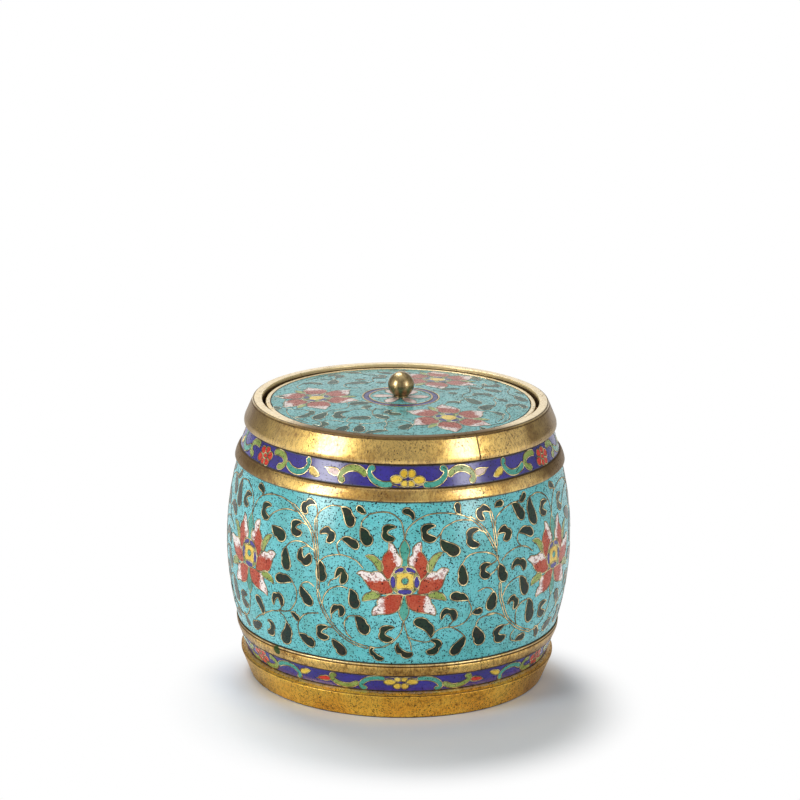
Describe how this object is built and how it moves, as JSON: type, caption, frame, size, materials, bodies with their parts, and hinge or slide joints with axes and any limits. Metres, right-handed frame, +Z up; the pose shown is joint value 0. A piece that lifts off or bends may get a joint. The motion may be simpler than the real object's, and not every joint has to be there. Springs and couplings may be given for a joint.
{
  "type": "lidded jar",
  "caption": "Barrel-shaped enamelled metal jar with gilt mouldings and a flat round lid that lifts off by a ball knop.",
  "frame": {"origin": "middle of the foot ring's flat underside, on the surface that the jar stands on", "axes": "+Z up along the jar's axis; the pictured front faces -Y and the picture's right is +X"},
  "size_m": [0.122, 0.122, 0.1095],
  "materials": {
    "gilt": "worn gilding over cast bronze, satin, with dark pits",
    "cloison_wire": "polished gilt wire, flush with the enamel",
    "copper": null,
    "turquoise_enamel": "polished enamel with fine dark pits",
    "cobalt_enamel": "polished enamel",
    "dark_green_enamel": "polished enamel, almost black",
    "olive_enamel": "polished enamel",
    "teal_enamel": "polished enamel",
    "red_enamel": "polished enamel, mottled with white at the petal tips",
    "white_enamel": "polished enamel",
    "yellow_enamel": "polished enamel"
  },
  "bodies": {
    "jar": {"vessel_wall": "copper", "base_plate": "copper", "field_enamel": "turquoise_enamel", "upper_band_enamel": "cobalt_enamel", "lower_band_enamel": "cobalt_enamel", "rim_ring": "gilt", "shoulder_moulding": "gilt", "lower_moulding": "gilt", "foot_ring": "gilt", "mouth_ledge": "gilt"},
    "lid": {"lid_plate": "copper", "lid_edge_ring": "gilt", "lid_field_enamel": "turquoise_enamel", "lid_outer_wire": "cloison_wire", "lid_blue_ring_enamel": "cobalt_enamel", "lid_inner_wire": "cloison_wire", "lid_centre_enamel": "turquoise_enamel", "knop_upper_cup": "gilt", "knop_lower_cup": "gilt", "knop_collar": "gilt", "rivet_washer": "gilt", "knop_shank": "copper"}
  },
  "joints": [
    {"name": "lid_lift", "type": "slide", "parent": "jar", "child": "lid", "axis": [0, 0, 1], "range_m": [0, 0.05]}
  ]
}
